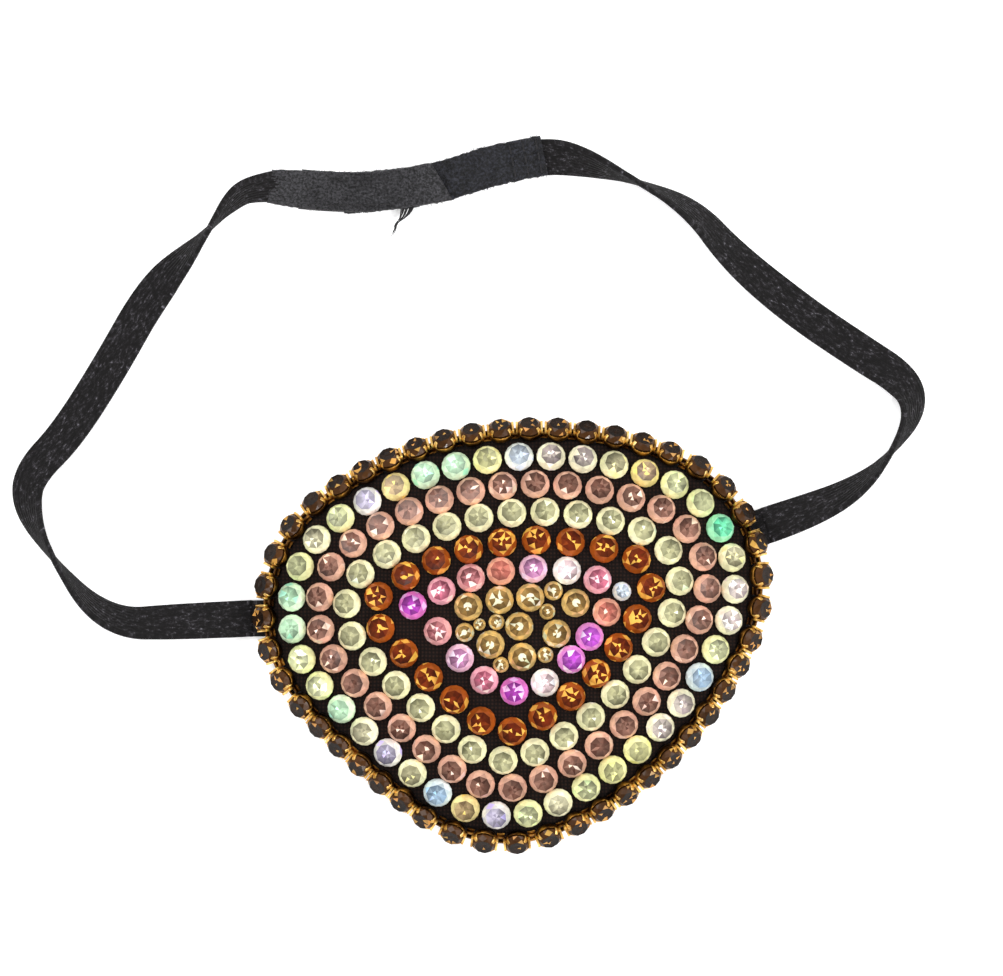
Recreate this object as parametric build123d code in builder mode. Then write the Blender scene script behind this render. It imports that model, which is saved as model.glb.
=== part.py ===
from build123d import *
from math import cos, radians, sin, sqrt, tan
import os

# Rhinestone eye patch on a black elastic strap, lying face up on a table.
# Millimetres. The origin is on the table under the middle of the patch, +X is the
# wearer's left seen from the front, +Y is up the face and +Z points out of the face.

# ---- driving dimensions -------------------------------------------------------------

# The patch's outline: three long arcs that meet in three round corners.
TOP_ARC = (4.2, -27.2, 60.4)
LOWER_LEFT_ARC = (68.0, 82.4, 138.4)
LOWER_RIGHT_ARC = (-17.7, 24.4, 61.3)
CORNER_RADIUS = 22.0
SHARPEST_CORNER = 1.5

# The domed face, its rolled edge and the layers behind it.
DOME_RADIUS = 110.0
DOME_TOP = 12.2
DOME_APEX = (0.8, 1.0)
EDGE_ROLL = 3.2
COVER_THICKNESS = 0.5
FELT_THICKNESS = 1.8
PRISM_HEIGHT = 20.0

# The hollow for the eye, and the felt that lines it.
HOLLOW_RADIUS = 26.0
HOLLOW_DEPTH = 7.0
HOLLOW_LINING = 1.2

# Flat-back stones.
GLUE_FILM = 0.05
STONE_SS20 = 4.6
STONE_SS12 = 3.1
STONE_SS9 = 2.6
STONE_SS6 = 2.0
GIRDLE_SHARE = 0.10
HEIGHT_SHARE = 0.42
TABLE_SHARE = 0.72

# Rows of flat-back stones: inset from the outline, number of stones, start along the row.
CRYSTAL_ROW = (3.8, 39, 0.2)
PEACH_ROW = (8.35, 33, 0.1)
JONQUIL_ROW = (12.9, 27, 0.2)
AMBER_ROW = (17.5, 21, 0.85)

# Hand-placed stones in the middle: x, y.
ROSE_TOP = [(-16.3, 5.0), (-11.6, 7.4), (-6.8, 9.5), (-1.9, 10.6), (3.4, 11.0), (8.9, 10.7), (13.9, 9.2)]
ROSE_RIGHT = [(15.4, 3.9), (12.6, -0.1), (9.6, -3.8), (5.3, -7.6)]
ROSE_LEFT = [(0.3, -9.0), (-4.6, -7.2), (-8.6, -3.6), (-12.2, 0.8)]
ACCENT_SS12 = [(17.9, 7.3)]
GOLD_LARGE_TOP = [(-7.2, 4.8), (-2.1, 5.9), (2.9, 6.3), (10.3, 5.4)]
GOLD_LARGE_LOW = [(7.2, 0.4), (1.1, 1.6), (-3.6, -1.4), (1.6, -3.4)]
GOLD_SS12 = [(6.7, 7.4), (-7.8, 0.6)]
GOLD_SS9 = [(5.7, 4.0), (-2.6, 2.3), (-1.9, -4.7), (5.4, -3.1)]
GOLD_SS6 = [(-5.4, 1.9)]

# Cup chain round the edge.
CHAIN_COUNT = 47
CHAIN_START = 0.5
CHAIN_TILT = 48.0
CHAIN_DROP = 0.9
CHAIN_GLUE = 0.2
CUP_RADIUS = 2.15
CUP_HEIGHT = 1.7
CUP_WALL = 0.3
CLAW_HEIGHT = 0.55
CLAW_WIDTH = 0.7
CLAW_THICKNESS = 0.24
CHATON_RADIUS = 1.8
CHATON_GIRDLE_Z = 1.45
CHATON_TABLE_RADIUS = 1.15
CHATON_HEIGHT = 2.45
CHATON_CLEARANCE = 0.1
CHATON_GIRDLE = 0.15
LINK_HEIGHT = 0.5
LINK_WIDTH = 1.1
LINK_THICKNESS = 0.25
LINK_GAP = 0.03

# The strap: flat elastic, its sewn ends, and the line about which it swings.
ELASTIC_WIDTH = 6.0
ELASTIC_THICKNESS = 1.0
ELASTIC_MID_Z = 0.75
HINGE_LEFT = (-43.5, 2.8)
HINGE_RIGHT = (43.5, 18.7)
HINGE_GAP = 0.3
TAIL_LENGTH = 15.5
CUT_ALLOWANCE = 1.0
LEFT_TAIL_HEADING = 180.0
RIGHT_TAIL_HEADING = 20.0
POCKET_CLEARANCE = 0.05
THREAD = 0.25
STITCH_LENGTH = 1.5

# The hook-and-loop closure, its layers from the table up.
TAPE_WIDTH = 6.6
LOOP_TAPE_THICKNESS = 0.9
LOOP_TAPE_MID_Z = 0.5
LOOP_SEAM_MID_Z = 1.75
HOOK_TAPE_THICKNESS = 0.8
HOOK_TAPE_MID_Z = 1.4
TAB_ELASTIC_MID_Z = 2.35
HOOK_TAPE_START_X = -35.0
HOOK_TAPE_START_DROP = 0.3

ARC_SHARE = 0.45
TABLE = Plane.XY
UP = Vector(0, 0, 1)
ON_SEAT = (Align.CENTER, Align.CENTER, Align.MIN)

# Blocks of stitches: how far in from the hinge, or centre and run, then columns, rows, pitch and gap.
TAIL_STITCH_INSET = 10.2
TAIL_STITCHES = (4, 3, 2.2, 1.9)
LOOP_SEAM_CENTRE = (2.2, 78.5)
LOOP_SEAM_RUN = (-1.0, 5.0, 0.0)
LOOP_SEAM_STITCHES = (3, 3, 2.0, 2.2)
TAB_STITCH_CENTRE = (-25.5, 73.05)
TAB_STITCH_RUN = (1.0, 0.02, 0.0)
TAB_STITCHES = (5, 2, 2.2, 4.2)

# ---- the strap's routes, from the patch to the closure ------------------------------

LEFT_ROUTE = [
    (-42.9, 2.8, ELASTIC_MID_Z),
    (-54.0, 2.3, ELASTIC_MID_Z),
    (-67.0, 1.8, ELASTIC_MID_Z),
    (-77.0, 14.0, ELASTIC_MID_Z),
    (-80.3, 22.0, ELASTIC_MID_Z),
    (-79.3, 27.0, ELASTIC_MID_Z),
    (-73.5, 33.0, ELASTIC_MID_Z),
    (-66.5, 44.0, ELASTIC_MID_Z),
    (-59.5, 56.5, ELASTIC_MID_Z),
    (-51.5, 65.0, ELASTIC_MID_Z),
    (-46.0, 72.1, 1.4),
    (-39.2, 73.9, TAB_ELASTIC_MID_Z),
]
RIGHT_ROUTE = [
    (41.8, 18.1, ELASTIC_MID_Z),
    (50.5, 21.0, ELASTIC_MID_Z),
    (58.0, 25.2, ELASTIC_MID_Z),
    (62.9, 30.6, ELASTIC_MID_Z),
    (66.3, 36.6, ELASTIC_MID_Z),
    (64.9, 41.9, ELASTIC_MID_Z),
    (57.0, 46.9, ELASTIC_MID_Z),
    (46.8, 53.8, ELASTIC_MID_Z),
    (36.6, 62.2, ELASTIC_MID_Z),
    (29.6, 70.6, ELASTIC_MID_Z),
    (18.8, 75.6, ELASTIC_MID_Z),
    (10.6, 78.5, ELASTIC_MID_Z),
    (4.8, 79.1, ELASTIC_MID_Z),
    (-0.6, 78.0, ELASTIC_MID_Z),
]
LOOP_TAPE_ROUTE = [
    (5.2, 79.2, LOOP_SEAM_MID_Z),
    (-2.8, 77.6, LOOP_SEAM_MID_Z),
    (-7.4, 76.2, LOOP_TAPE_MID_Z),
    (-12.0, 74.7, LOOP_TAPE_MID_Z),
    (-19.5, 73.4, LOOP_TAPE_MID_Z),
    (-28.0, 72.9, LOOP_TAPE_MID_Z),
]
TAB_ROUTE = [
    (-38.0, 73.9),
    (-28.0, 72.9),
    (-19.5, 73.4),
    (-11.6, 74.8),
]
THREAD_ROUTE = [
    (-18.4, 69.9, 1.4),
    (-18.6, 68.8, 1.2),
    (-19.2, 67.9, 0.7),
    (-19.5, 66.7, 0.4),
    (-20.1, 65.8, 0.2),
]


def outline(inset):
    """The patch's outline as a sketch, everywhere `inset` inside its edge."""
    with BuildSketch() as shape:
        for number, (x, y, radius) in enumerate([TOP_ARC, LOWER_LEFT_ARC, LOWER_RIGHT_ARC]):
            with Locations((x, y)):
                Circle(radius - inset, mode=Mode.INTERSECT if number else Mode.ADD)
        fillet(shape.vertices(), max(CORNER_RADIUS - inset, SHARPEST_CORNER))
    return shape.sketch


def dome_point(x, y, skin=0.0):
    """The point of the domed face above x, y, and the way it faces."""
    centre = Vector(*DOME_APEX, DOME_TOP - DOME_RADIUS)
    across = Vector(x, y, 0) - Vector(*DOME_APEX, 0)
    height = sqrt((DOME_RADIUS - skin) ** 2 - across.length**2)
    point = Vector(x, y, centre.Z + height)
    return point, (point - centre).normalized()


def dome(skin):
    """The patch above its felt, everywhere `skin` under its outer surface."""
    with BuildPart() as body:
        with BuildSketch(TABLE.offset(FELT_THICKNESS)):
            add(outline(skin))
        extrude(amount=PRISM_HEIGHT)
        with Locations((*DOME_APEX, DOME_TOP - DOME_RADIUS)):
            Sphere(DOME_RADIUS - skin, mode=Mode.INTERSECT)
        top_face = body.faces().filter_by(GeomType.SPHERE).sort_by(Axis.Z)[-1]
        fillet(top_face.outer_wire().edges(), EDGE_ROLL - skin)
    return body.part


def row_places(inset, count, start):
    """`count` evenly spaced points round a row, each with the way out of the patch."""
    ring = outline(inset).face().outer_wire()
    places = []
    for number in range(count):
        share = ((number + start) / count) % 1.0
        point = ring.position_at(share)
        outward = ring.tangent_at(share).cross(UP).normalized()
        if outward.dot(point) < 0:
            outward = outward * -1
        places.append((point, outward))
    return places


def seat(x, y):
    """Where a flat-back stone is glued on the dome."""
    point, facing = dome_point(x, y)
    return Plane(origin=point + facing * GLUE_FILM, z_dir=facing)


def row_seats(inset, count, start):
    return [seat(point.X, point.Y) for point, _ in row_places(inset, count, start)]


def flat_back(diameter):
    """One flat-back stone: a short girdle, a sloping crown and a flat table."""
    radius = diameter / 2
    girdle = diameter * GIRDLE_SHARE
    with BuildPart() as stone:
        with BuildSketch(Plane.XZ):
            Polygon(
                (0, 0),
                (radius, 0),
                (radius, girdle),
                (radius * TABLE_SHARE, diameter * HEIGHT_SHARE),
                (0, diameter * HEIGHT_SHARE),
                align=None,
            )
        revolve(axis=Axis.Z)
    return stone.part


def stones_at(seats, diameter):
    """Separate stones of one size, one on each seat."""
    stone = flat_back(diameter)
    with BuildPart() as group:
        with Locations(*seats):
            add(stone)
    return group


def save(builder, name):
    builder.part.label = name
    export_step(builder.part, f"parts/{name}.step")


os.makedirs("parts", exist_ok=True)

# ---- the strap's sewn ends ----------------------------------------------------------

left_hinge = Vector(*HINGE_LEFT, ELASTIC_MID_Z)
right_hinge = Vector(*HINGE_RIGHT, ELASTIC_MID_Z)
swing = (right_hinge - left_hinge).normalized()


def heading(degrees):
    return Vector(cos(radians(degrees)), sin(radians(degrees)), 0)


def strap_tail(hinge, degrees, grow, end_cut):
    """The flat end of the elastic under the patch, cut square to the hinge line."""
    out = heading(degrees)
    middle = hinge - out * (TAIL_LENGTH / 2 - CUT_ALLOWANCE)
    bottom = middle - UP * (ELASTIC_THICKNESS / 2 + grow)
    with BuildPart() as tail:
        with BuildSketch(Plane(origin=bottom, x_dir=out, z_dir=UP)):
            Rectangle(TAIL_LENGTH + 2 * CUT_ALLOWANCE + 2 * grow, ELASTIC_WIDTH + 2 * grow)
        extrude(amount=ELASTIC_THICKNESS + 2 * grow)
        if end_cut:
            away = swing if swing.dot(out) > 0 else swing * -1
            split(bisect_by=Plane(origin=hinge - away * (HINGE_GAP / 2), z_dir=away * -1), keep=Keep.TOP)
    return tail


left_strap_tail = strap_tail(left_hinge, LEFT_TAIL_HEADING, 0, True)
save(left_strap_tail, "left_strap_tail")
right_strap_tail = strap_tail(right_hinge, RIGHT_TAIL_HEADING, 0, True)
save(right_strap_tail, "right_strap_tail")

# ---- the patch's layers -------------------------------------------------------------

hollow_centre_z = HOLLOW_DEPTH - HOLLOW_RADIUS
left_pocket = strap_tail(left_hinge, LEFT_TAIL_HEADING, POCKET_CLEARANCE, False)
right_pocket = strap_tail(right_hinge, RIGHT_TAIL_HEADING, POCKET_CLEARANCE, False)

with BuildPart() as felt_lining:
    with BuildSketch():
        add(outline(0))
    extrude(amount=FELT_THICKNESS)
    with Locations((0, 0, hollow_centre_z)):
        Sphere(HOLLOW_RADIUS + HOLLOW_LINING)
    split(bisect_by=TABLE, keep=Keep.TOP)
    with Locations((0, 0, hollow_centre_z)):
        Sphere(HOLLOW_RADIUS, mode=Mode.SUBTRACT)
    for pocket in (left_pocket, right_pocket):
        add(pocket.part, mode=Mode.SUBTRACT)
        add(pocket.part.moved(Location((0, 0, -ELASTIC_THICKNESS / 2))), mode=Mode.SUBTRACT)
save(felt_lining, "felt_lining")

under_cover = dome(COVER_THICKNESS)
with BuildPart() as foam_core:
    add(under_cover)
    with Locations((0, 0, hollow_centre_z)):
        Sphere(HOLLOW_RADIUS + HOLLOW_LINING, mode=Mode.SUBTRACT)
save(foam_core, "foam_core")

with BuildPart() as fabric_cover:
    add(dome(0))
    add(under_cover, mode=Mode.SUBTRACT)
save(fabric_cover, "fabric_cover")

# ---- rows of flat-back stones -------------------------------------------------------

for name, row in [
    ("crystal_row", CRYSTAL_ROW),
    ("peach_row", PEACH_ROW),
    ("jonquil_row", JONQUIL_ROW),
    ("amber_row", AMBER_ROW),
]:
    save(stones_at(row_seats(*row), STONE_SS20), name)


for name, spots, size in [
    ("rose_row", ROSE_TOP + ROSE_RIGHT + ROSE_LEFT, STONE_SS20),
    ("accent_stone", ACCENT_SS12, STONE_SS12),
    ("gold_centre_large", GOLD_LARGE_TOP + GOLD_LARGE_LOW, STONE_SS20),
]:
    save(stones_at([seat(x, y) for x, y in spots], size), name)

with BuildPart() as gold_centre_small:
    for spots, size in [(GOLD_SS12, STONE_SS12), (GOLD_SS9, STONE_SS9), (GOLD_SS6, STONE_SS6)]:
        add(stones_at([seat(x, y) for x, y in spots], size).part)
save(gold_centre_small, "gold_centre_small")

# ---- the cup chain round the edge ---------------------------------------------------


def chain_seats():
    """Where each cup of the chain is glued on the rolled edge."""
    seats = []
    for point, outward in row_places(EDGE_ROLL, CHAIN_COUNT, CHAIN_START):
        roll_middle = dome_point(point.X, point.Y, EDGE_ROLL)[0]
        facing = outward * sin(radians(CHAIN_TILT)) + UP * cos(radians(CHAIN_TILT))
        down = outward * cos(radians(CHAIN_TILT)) - UP * sin(radians(CHAIN_TILT))
        origin = roll_middle + facing * (EDGE_ROLL + CHAIN_GLUE) + down * CHAIN_DROP
        seats.append(Plane(origin=origin, x_dir=down, z_dir=facing))
    return seats


with BuildPart() as one_cup:
    Cylinder(CUP_RADIUS, CUP_HEIGHT, align=ON_SEAT)
    with Locations((0, 0, CUP_WALL)):
        Cylinder(CUP_RADIUS - CUP_WALL, CUP_HEIGHT, align=ON_SEAT, mode=Mode.SUBTRACT)
    with PolarLocations(CUP_RADIUS - CUP_WALL / 2, 4, start_angle=45):
        with Locations((0, 0, CUP_HEIGHT - CUP_WALL)):
            Box(CLAW_THICKNESS, CLAW_WIDTH, CLAW_HEIGHT + CUP_WALL, align=ON_SEAT)

with BuildPart() as one_chaton:
    with BuildSketch(Plane.XZ):
        Polygon(
            (0, CUP_WALL + CHATON_CLEARANCE),
            (CHATON_RADIUS, CHATON_GIRDLE_Z),
            (CHATON_RADIUS, CHATON_GIRDLE_Z + CHATON_GIRDLE),
            (CHATON_TABLE_RADIUS, CHATON_HEIGHT),
            (0, CHATON_HEIGHT),
            align=None,
        )
    revolve(axis=Axis.Z)

cup_seats = chain_seats()
with BuildPart() as edge_chain_cups:
    with Locations(*cup_seats):
        add(one_cup.part)
save(edge_chain_cups, "edge_chain_cups")

with BuildPart() as edge_chain_stones:
    with Locations(*cup_seats):
        add(one_chaton.part)
save(edge_chain_stones, "edge_chain_stones")

with BuildPart() as edge_chain_links:
    for first, second in zip(cup_seats, cup_seats[1:] + cup_seats[:1]):
        across = second.origin - first.origin
        facing = (first.z_dir + second.z_dir).normalized()
        middle = (first.origin + second.origin) / 2
        length = across.length - 2 * (CUP_RADIUS + LINK_GAP)
        with BuildSketch(Plane(origin=middle + facing * LINK_HEIGHT, x_dir=across, z_dir=facing)):
            Rectangle(length, LINK_WIDTH)
        extrude(amount=LINK_THICKNESS)
save(edge_chain_links, "edge_chain_links")

# ---- the elastic strap --------------------------------------------------------------


def turn_radii(route):
    """The largest arc that each corner of a route has room for."""
    radii = []
    for before, corner, after in zip(route, route[1:], route[2:]):
        run_in = Vector(*corner) - Vector(*before)
        run_out = Vector(*after) - Vector(*corner)
        half_turn = radians(run_in.get_angle(run_out)) / 2
        radii.append(ARC_SHARE * min(run_in.length, run_out.length) / tan(half_turn))
    return radii


def band(name, route, width, thickness):
    """A flat band that lies level along a route of straight runs and tangent arcs."""
    radii = turn_radii(route)
    with BuildPart() as flat:
        with BuildLine() as line:
            FilletPolyline(*route, radius=radii)
        path = line.wire()
        start = path % 0
        with BuildSketch(Plane(origin=path @ 0, x_dir=UP.cross(start), z_dir=start)):
            Rectangle(width, thickness)
        sweep(path=path)
    expected = width * thickness * path.length
    print(name, "length", round(path.length, 1), "volume share", round(flat.part.volume / expected, 3))
    print("  radii", [round(radius, 1) for radius in radii])
    return flat


def cut_at_hinge(flat, hinge, away):
    """A strap's elastic starts just past the hinge line's end, cut square to that line."""
    with BuildPart() as elastic:
        add(flat.part)
        with BuildSketch(Plane(origin=hinge + away * (HINGE_GAP / 2), z_dir=away * -1)):
            Rectangle(3 * ELASTIC_WIDTH, 3 * ELASTIC_WIDTH)
        extrude(amount=ELASTIC_WIDTH, mode=Mode.SUBTRACT)
    return elastic


left_band = band("left_elastic", LEFT_ROUTE, ELASTIC_WIDTH, ELASTIC_THICKNESS)
left_elastic = cut_at_hinge(left_band, left_hinge, swing * -1)
save(left_elastic, "left_elastic")

right_band = band("right_elastic", RIGHT_ROUTE, ELASTIC_WIDTH, ELASTIC_THICKNESS)
right_elastic = cut_at_hinge(right_band, right_hinge, swing)
save(right_elastic, "right_elastic")

# ---- the hook-and-loop closure ------------------------------------------------------

loop_tape = band("loop_tape", LOOP_TAPE_ROUTE, TAPE_WIDTH, LOOP_TAPE_THICKNESS)
save(loop_tape, "loop_tape")

tab_route = [(x, y, TAB_ELASTIC_MID_Z) for x, y in TAB_ROUTE]
hook_tab_elastic = band("hook_tab_elastic", tab_route, ELASTIC_WIDTH, ELASTIC_THICKNESS)
save(hook_tab_elastic, "hook_tab_elastic")

hook_start = (HOOK_TAPE_START_X, TAB_ROUTE[0][1] - HOOK_TAPE_START_DROP)
hook_route = [(x, y, HOOK_TAPE_MID_Z) for x, y in [hook_start] + TAB_ROUTE[1:]]
hook_tape = band("hook_tape", hook_route, TAPE_WIDTH, HOOK_TAPE_THICKNESS)
save(hook_tape, "hook_tape")

# ---- stitches and the loose thread --------------------------------------------------


def stitch_rows(origin, along, columns, rows, pitch, gap):
    """A grid of short level stitches, each lying along the band."""
    with BuildPart() as stitches:
        with BuildSketch(Plane(origin=origin, x_dir=along, z_dir=UP)):
            with GridLocations(pitch, gap, columns, rows):
                SlotOverall(STITCH_LENGTH, THREAD)
        extrude(amount=THREAD)
    return stitches


for name, hinge, degrees in [
    ("left_tail_stitches", left_hinge, LEFT_TAIL_HEADING),
    ("right_tail_stitches", right_hinge, RIGHT_TAIL_HEADING),
]:
    out = heading(degrees)
    middle = hinge - out * TAIL_STITCH_INSET
    save(stitch_rows(Vector(middle.X, middle.Y, 0), out, *TAIL_STITCHES), name)

loop_seam = Vector(*LOOP_SEAM_CENTRE, LOOP_SEAM_MID_Z + LOOP_TAPE_THICKNESS / 2)
save(stitch_rows(loop_seam, Vector(*LOOP_SEAM_RUN), *LOOP_SEAM_STITCHES), "loop_tape_stitches")

tab_top = Vector(*TAB_STITCH_CENTRE, TAB_ELASTIC_MID_Z + ELASTIC_THICKNESS / 2)
save(stitch_rows(tab_top, Vector(*TAB_STITCH_RUN), *TAB_STITCHES), "hook_tape_stitches")

with BuildPart() as loose_thread:
    with BuildLine() as thread_line:
        FilletPolyline(*THREAD_ROUTE, radius=turn_radii(THREAD_ROUTE))
    thread_path = thread_line.wire()
    with BuildSketch(Plane(origin=thread_path @ 0, z_dir=thread_path % 0)):
        Circle(THREAD / 2)
    sweep(path=thread_path)
save(loose_thread, "loose_thread")
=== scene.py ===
"""The looks of a rhinestone eye patch on a black elastic strap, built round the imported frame."""

import math
import random

import bmesh
import bpy
import numpy as np
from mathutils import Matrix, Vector, noise


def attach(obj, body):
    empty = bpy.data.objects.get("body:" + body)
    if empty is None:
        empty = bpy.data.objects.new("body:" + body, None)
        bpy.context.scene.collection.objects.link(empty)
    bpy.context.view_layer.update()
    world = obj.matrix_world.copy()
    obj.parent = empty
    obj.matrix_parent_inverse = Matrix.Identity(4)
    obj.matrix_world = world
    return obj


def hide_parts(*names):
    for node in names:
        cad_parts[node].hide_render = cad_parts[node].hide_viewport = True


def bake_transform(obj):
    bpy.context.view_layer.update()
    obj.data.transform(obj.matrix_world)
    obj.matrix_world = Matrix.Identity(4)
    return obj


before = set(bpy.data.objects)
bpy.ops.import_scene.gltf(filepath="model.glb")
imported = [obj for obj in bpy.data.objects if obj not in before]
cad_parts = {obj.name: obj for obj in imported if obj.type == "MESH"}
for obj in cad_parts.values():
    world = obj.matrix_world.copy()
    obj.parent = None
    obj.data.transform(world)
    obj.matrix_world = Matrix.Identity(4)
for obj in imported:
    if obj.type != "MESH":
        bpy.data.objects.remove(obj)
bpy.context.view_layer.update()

MM = 0.001
WELD = 0.001 * MM
# The corners of a square, anticlockwise.
SQUARE = ((-1, -1), (1, -1), (1, 1), (-1, 1))
PATCH, STRAP, TAB = "patch", "strap", "hook_tab"


# ---- camera and light ------------------------------------------------------------------

VIEW_CENTRE = (-1.8 * MM, 24.3 * MM)
VIEW_WIDTH = 165.5 * MM
CAMERA_HEIGHT = 2.4
SENSOR = 36.0

ROOM_STRENGTH = 0.8
HORIZON, ZENITH = (0.05, (1.0, 1.0, 1.0)), (0.9, (0.42, 0.42, 0.43))
# Place, size and watts.
KEY_LIGHT = ((-0.35, 0.45, 0.75), 0.45, 5.0)
FILL_LIGHT = ((0.55, -0.25, 0.6), 0.4, 2.4)
SPARK_PLACES = [(0.3, 0.35), (-0.4, -0.1), (0.1, -0.4), (0.42, 0.05)]
SPARK_HEIGHT, SPARK_SIZE, SPARK_WATTS = 0.45, 0.03, 0.9

FLOOR_SIDE = 3.0
FLOOR_LEVEL = -0.1 * MM
FLOOR_GREY, FLOOR_ROUGHNESS, FLOOR_GLOW = 0.95, 0.9, 0.3


def make_camera():
    """A long lens that looks straight down on the table."""
    data = bpy.data.cameras.new("camera")
    data.sensor_width = SENSOR
    data.lens = SENSOR * CAMERA_HEIGHT / VIEW_WIDTH
    camera = bpy.data.objects.new("camera", data)
    camera.location = (*VIEW_CENTRE, CAMERA_HEIGHT)
    bpy.context.collection.objects.link(camera)
    bpy.context.scene.camera = camera


def area_light(name, place, size, watts):
    """A square lamp that points at the origin."""
    data = bpy.data.lights.new(name, "AREA")
    data.energy = watts
    data.size = size
    lamp = bpy.data.objects.new(name, data)
    lamp.location = place
    lamp.rotation_euler = (-Vector(place)).to_track_quat("-Z", "Y").to_euler()
    bpy.context.collection.objects.link(lamp)


def make_lights():
    """A pale room with a brighter horizon, one soft key and a few small lamps for sparkle."""
    bpy.context.scene.view_settings.view_transform = "Standard"
    world = bpy.data.worlds.new("studio")
    bpy.context.scene.world = world
    world.use_nodes = True
    nodes, links = world.node_tree.nodes, world.node_tree.links
    background = nodes["Background"]
    coords = nodes.new("ShaderNodeTexCoord")
    split = nodes.new("ShaderNodeSeparateXYZ")
    ramp = ramp_node(nodes, [HORIZON, ZENITH])
    links.new(coords.outputs["Generated"], split.inputs[0])
    links.new(split.outputs["Z"], ramp.inputs[0])
    links.new(ramp.outputs[0], background.inputs["Color"])
    background.inputs["Strength"].default_value = ROOM_STRENGTH
    area_light("key", *KEY_LIGHT)
    area_light("fill", *FILL_LIGHT)
    for number, (x, y) in enumerate(SPARK_PLACES):
        area_light(f"spark_{number}", (x, y, SPARK_HEIGHT), SPARK_SIZE, SPARK_WATTS)


def make_floor():
    """White paper under the object."""
    mesh = bpy.data.meshes.new("floor")
    corners = [(x * FLOOR_SIDE, y * FLOOR_SIDE, 0) for x, y in SQUARE]
    mesh.from_pydata(corners, [], [(0, 1, 2, 3)])
    floor = bpy.data.objects.new("floor", mesh)
    bpy.context.collection.objects.link(floor)
    floor.location.z = FLOOR_LEVEL
    paper, _, _, shader = new_material("floor_paper")
    shader.inputs["Base Color"].default_value = (FLOOR_GREY, FLOOR_GREY, FLOOR_GREY, 1)
    shader.inputs["Roughness"].default_value = FLOOR_ROUGHNESS
    shader.inputs["Emission Color"].default_value = (1, 1, 1, 1)
    shader.inputs["Emission Strength"].default_value = FLOOR_GLOW
    floor.data.materials.append(paper)


# ---- materials -------------------------------------------------------------------------


def rgb(red, green, blue):
    """A screen colour, 0 to 255, as a linear one."""
    return tuple(
        ((part / 255 + 0.055) / 1.055) ** 2.4 if part > 10 else part / 255 / 12.92
        for part in (red, green, blue)
    )


def new_material(name):
    """An empty material, its nodes, its links and its shader."""
    made = bpy.data.materials.new(name)
    made.use_nodes = True
    tree = made.node_tree
    return made, tree.nodes, tree.links, tree.nodes["Principled BSDF"]


def node(nodes, kind, **settings):
    """A shader node. in_ before a setting's name says that it is one of the node's sockets."""
    made = nodes.new(kind)
    for key, value in settings.items():
        if key.startswith("in_"):
            made.inputs[key[3:].replace("_", " ")].default_value = value
        else:
            setattr(made, key, value)
    return made


def ramp_node(nodes, stops):
    """A colour ramp through (place, colour) stops."""
    made = nodes.new("ShaderNodeValToRGB")
    elements = made.color_ramp.elements
    while len(elements) < len(stops):
        elements.new(0.5)
    for element, (place, colour) in zip(elements, stops):
        element.position = place
        element.color = (*colour, 1)
    return made


def object_texture(nodes, links, kind, **settings):
    """A texture that is fixed to its object."""
    coords = node(nodes, "ShaderNodeTexCoord")
    texture = node(nodes, kind, **settings)
    links.new(coords.outputs["Object"], texture.inputs["Vector"])
    return texture


def tint_by(nodes, links, shader, pattern, stops):
    """Take the base colour from where a pattern falls on a colour ramp."""
    tint = ramp_node(nodes, stops)
    links.new(pattern, tint.inputs[0])
    links.new(tint.outputs[0], shader.inputs["Base Color"])


def emboss(nodes, links, shader, pattern, strength, distance):
    """Raise the surface where a pattern is bright."""
    relief = node(nodes, "ShaderNodeBump", in_Strength=strength, in_Distance=distance)
    links.new(pattern, relief.inputs["Height"])
    links.new(relief.outputs[0], shader.inputs["Normal"])


def stone_material(name, metallic, roughness, coat, specular=0.3):
    """Cut glass over foil: each facet's colour, which holds painted glints, reflections and shade as well
    as the glass's own colour, under a clear polished surface.
    """
    made, nodes, links, shader = new_material(name)
    facet = node(nodes, "ShaderNodeAttribute", attribute_name="facet")
    mottle = object_texture(nodes, links, "ShaderNodeTexNoise", in_Scale=900.0, in_Detail=2.0)
    spread = node(
        nodes, "ShaderNodeMapRange", in_From_Min=0.3, in_From_Max=0.7, in_To_Min=0.82, in_To_Max=1.15
    )
    links.new(mottle.outputs["Fac"], spread.inputs["Value"])
    mixed = node(nodes, "ShaderNodeVectorMath", operation="SCALE")
    links.new(facet.outputs["Color"], mixed.inputs[0])
    links.new(spread.outputs[0], mixed.inputs["Scale"])
    links.new(mixed.outputs[0], shader.inputs["Base Color"])
    shader.inputs["Metallic"].default_value = metallic
    shader.inputs["Roughness"].default_value = roughness
    shader.inputs["Specular IOR Level"].default_value = specular
    shader.inputs["Coat Weight"].default_value = coat
    shader.inputs["Coat Roughness"].default_value = 0.05
    return made


def gold_material(name, dark, middle, light):
    """Stamped gold-coloured brass, duller and darker in random patches."""
    made, nodes, links, shader = new_material(name)
    tarnish = object_texture(nodes, links, "ShaderNodeTexNoise", in_Scale=450.0, in_Detail=3.0)
    stops = [(0.35, dark), (0.5, middle), (0.7, light)]
    tint_by(nodes, links, shader, tarnish.outputs["Fac"], stops)
    rough = node(nodes, "ShaderNodeMapRange", in_To_Min=0.2, in_To_Max=0.42)
    links.new(tarnish.outputs["Fac"], rough.inputs["Value"])
    links.new(rough.outputs[0], shader.inputs["Roughness"])
    shader.inputs["Metallic"].default_value = 1.0
    return made


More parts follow.
